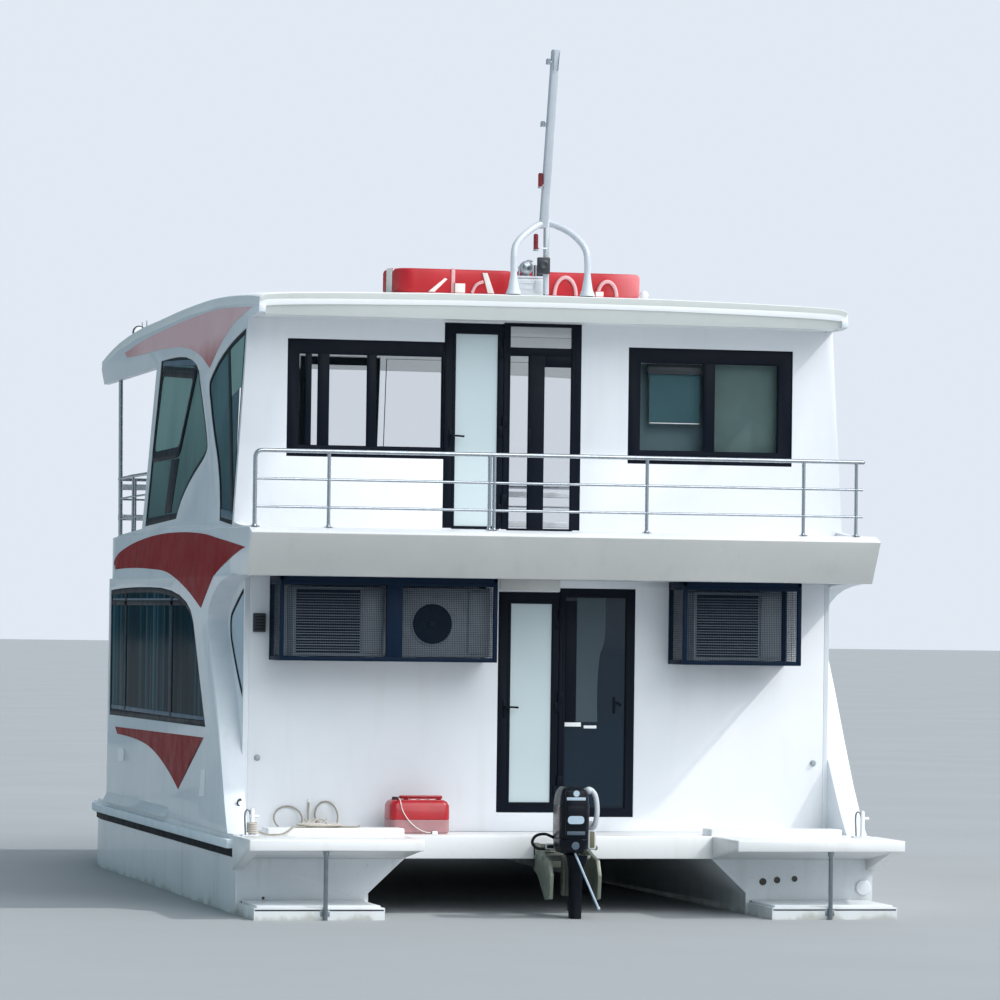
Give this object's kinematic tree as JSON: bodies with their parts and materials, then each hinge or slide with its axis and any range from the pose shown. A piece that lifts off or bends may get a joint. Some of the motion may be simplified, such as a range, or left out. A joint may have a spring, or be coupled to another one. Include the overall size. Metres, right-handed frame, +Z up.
{
  "type": "houseboat",
  "caption": "Two-deck twin-hull houseboat with glazed cabins, a front balcony, rails, a roof mast and a tilting, steering outboard motor.",
  "frame": {"origin": "on the waterline and the centreline, below the outer face of the stern walls", "axes": "+Y forward to the bow, +X to starboard, +Z up"},
  "size_m": [5.98, 11.865, 8.29],
  "materials": {
    "gelcoat": "semi-gloss",
    "rub_rail": "satin",
    "dark_glazing": "gloss",
    "cage": "satin",
    "cooler": "satin",
    "steel": "polished",
    "float_cover": "satin",
    "bracket": "painted, satin",
    "motor": "gloss",
    "tank": "semi-gloss",
    "rope": "matt",
    "white_hose": "satin"
  },
  "bodies": {
    "boat": {"hull_port": "gelcoat", "hull_starboard": "gelcoat", "bridge_deck": "gelcoat", "swim_platform_port": "gelcoat", "swim_platform_starboard": "gelcoat", "side_shell_port": "gelcoat", "side_shell_starboard": "gelcoat", "stern_wall_lower": "gelcoat", "front_wall_lower": "gelcoat", "upper_deck": "gelcoat", "stern_wall_upper": "gelcoat", "side_panel_upper_port": "gelcoat", "side_panel_upper_starboard": "gelcoat", "roof": "gelcoat", "mast": "gelcoat", "searchlight": "gelcoat", "rub_rail": "rub_rail", "side_window_lower_port": "dark_glazing", "side_window_lower_starboard": "dark_glazing", "quarter_window_port": "dark_glazing", "quarter_window_starboard": "dark_glazing", "stern_light_lower": "dark_glazing", "front_screen_lower": "dark_glazing", "stern_window_port": "dark_glazing", "stern_window_starboard": "dark_glazing", "stern_light_upper": "dark_glazing", "side_window_aft_port": "dark_glazing", "side_window_aft_starboard": "dark_glazing", "side_window_forward_port": "dark_glazing", "side_window_forward_starboard": "dark_glazing", "front_screen_upper": "dark_glazing", "cage_port": "cage", "cage_starboard": "cage", "cooler_outer": "cooler", "cooler_inner": "cooler", "cooler_starboard": "cooler", "aft_rail": "steel", "balcony_rail": "steel", "bow_rail": "steel", "life_float_port": "float_cover", "life_float_starboard": "float_cover", "outboard_clamp": "bracket", "fuel_tank": "tank", "bollard_port": "gelcoat", "bollard_starboard": "gelcoat", "mooring_line": "rope", "fuel_line": "white_hose"},
    "lower stern door": {"stern_door_lower": "dark_glazing"},
    "upper stern door": {"stern_door_upper": "dark_glazing"},
    "lower front door": {"front_door_lower": "dark_glazing"},
    "upper front door": {"front_door_upper": "dark_glazing"},
    "outboard tilt body": {"outboard_swivel": "bracket"},
    "outboard motor": {"outboard_motor": "motor"},
    "propeller": {"propeller": "motor"}
  },
  "joints": [
    {"name": "lower stern door hinge", "type": "hinge", "parent": "boat", "child": "lower stern door", "pos_m": [0.173, -0.01, 0.878], "axis": [0, 0, 1], "range_deg": [0, 110]},
    {"name": "upper stern door hinge", "type": "hinge", "parent": "boat", "child": "upper stern door", "pos_m": [-0.379, -0.01, 3.446], "axis": [0, 0, 1], "range_deg": [0, 100]},
    {"name": "lower front door hinge", "type": "hinge", "parent": "boat", "child": "lower front door", "pos_m": [-0.4225, 6.8103, 0.76], "axis": [0, 0, 1], "range_deg": [0, 100]},
    {"name": "upper front door hinge", "type": "hinge", "parent": "boat", "child": "upper front door", "pos_m": [-1.3025, 5.19993, 3.4165], "axis": [0, -0.1197, 0.9928], "range_deg": [0, 95]},
    {"name": "outboard tilt", "type": "hinge", "parent": "boat", "child": "outboard tilt body", "pos_m": [0, -1.15, 0.52], "axis": [-1, 0, 0], "range_deg": [0, 45]},
    {"name": "outboard steering", "type": "hinge", "parent": "outboard tilt body", "child": "outboard motor", "pos_m": [0, -1.225, 0.52], "axis": [0, 0, 1], "range_deg": [-30, 30]},
    {"name": "propeller shaft", "type": "hinge", "parent": "outboard motor", "child": "propeller", "pos_m": [0, -1.54, -0.3], "axis": [0, 1, 0], "continuous": true}
  ]
}
